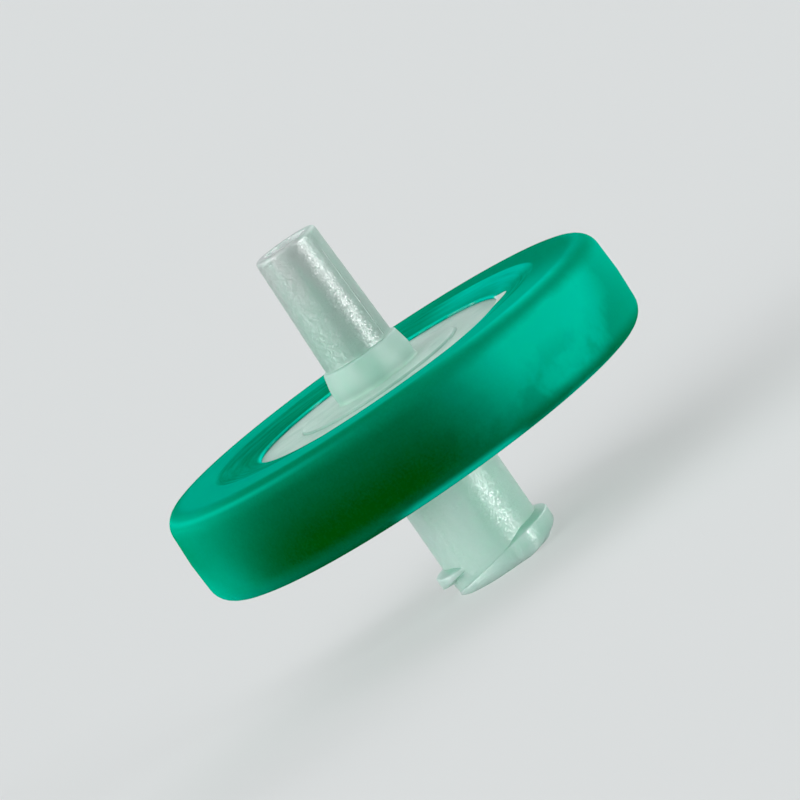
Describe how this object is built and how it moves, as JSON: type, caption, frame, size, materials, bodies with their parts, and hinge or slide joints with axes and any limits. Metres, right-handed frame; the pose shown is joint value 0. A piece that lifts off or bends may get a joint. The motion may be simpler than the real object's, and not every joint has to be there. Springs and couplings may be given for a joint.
{
  "type": "syringe filter",
  "caption": "Disc syringe filter: female luer lock inlet and male luer slip outlet on a round housing held in a coloured moulded ring.",
  "frame": {"origin": "centre of the female luer's end face, which is the bottom of the part", "axes": "+Z along the flow axis, from the female luer inlet to the male luer outlet; -Y is the front, between the two locking lugs"},
  "size_m": [0.0296, 0.0296, 0.0224],
  "materials": {
    "green_polypropylene": "satin, slightly translucent",
    "natural_polypropylene": "fine spark texture, translucent",
    "membrane": "matt, microporous"
  },
  "bodies": {
    "root": {"overmould_ring": "green_polypropylene", "inlet_housing": "natural_polypropylene", "outlet_housing": "natural_polypropylene", "filter_membrane": "membrane"}
  },
  "joints": []
}
